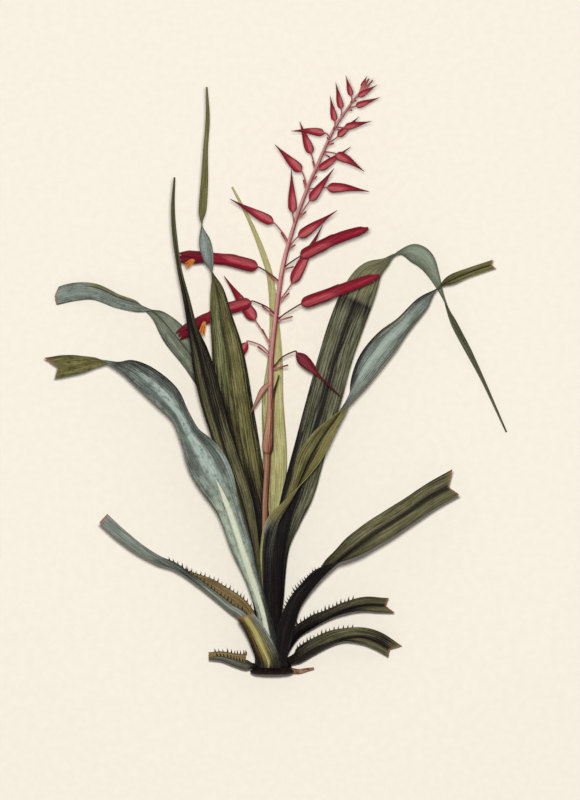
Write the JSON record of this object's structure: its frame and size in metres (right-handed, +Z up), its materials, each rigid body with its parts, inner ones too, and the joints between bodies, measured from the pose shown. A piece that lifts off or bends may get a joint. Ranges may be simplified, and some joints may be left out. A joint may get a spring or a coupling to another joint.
{
  "type": "flowering pitcairnia plant",
  "caption": "Flowering bromeliad laid on its back: twisted strap leaves, cut leaf stubs with spiny edges, a short crown, and a slender leaning raceme of tubular flowers and buds.",
  "frame": {"origin": "the small flat spot under the crown, on the plane that the plant rests on", "axes": "+Y along the plant from the crown to the raceme's tip, +Z up from the resting plane to the side seen from above"},
  "size_m": [0.3246, 0.4189, 0.0623],
  "materials": {
    "crown": "dark brown, rough and fibrous root stock",
    "leaf_olive": "olive, softly sheened, fine parallel veins",
    "leaf_grey": "blue-grey scaly bloom over green, matt",
    "leaf_pale": "pale yellow-green, soft sheen",
    "scape": "pink to brick red, smooth stalk",
    "bud": "crimson, satin, paler towards the base",
    "petal": "deep crimson, satin, pinker calyx",
    "faded_petal": "dark dull crimson with a brown withered tail"
  },
  "bodies": {
    "root": {"crown": "crown", "leaf_arch_left": "leaf_grey", "leaf_arch_right": "leaf_olive", "leaf_broad_left": "leaf_grey", "leaf_cut_left": "leaf_grey", "leaf_cut_right_lower": "leaf_olive", "leaf_cut_right_middle": "leaf_olive", "leaf_cut_right_upper": "leaf_olive", "leaf_fold_right": "leaf_olive", "leaf_narrow_left": "leaf_olive", "leaf_pale": "leaf_pale", "leaf_stub_front": "leaf_pale", "leaf_stub_left": "leaf_grey", "leaf_tall": "leaf_olive", "scape": "scape", "bud_left_eighth": "bud", "bud_left_fifth": "bud", "bud_left_first": "bud", "bud_left_fourth": "bud", "bud_left_ninth": "bud", "bud_left_second": "bud", "bud_left_seventh": "bud", "bud_left_sixth": "bud", "bud_left_third": "bud", "bud_right_eighth": "bud", "bud_right_fifth": "bud", "bud_right_first": "bud", "bud_right_fourth": "bud", "bud_right_second": "bud", "bud_right_seventh": "bud", "bud_right_sixth": "bud", "bud_right_third": "bud", "bud_tip_first": "bud", "bud_tip_left": "bud", "bud_tip_lower": "bud", "bud_tip_right": "bud", "flower_faded": "faded_petal", "flower_left_lower": "petal", "flower_left_upper": "petal", "flower_right_lower": "petal", "flower_right_upper": "petal"}
  },
  "joints": []
}
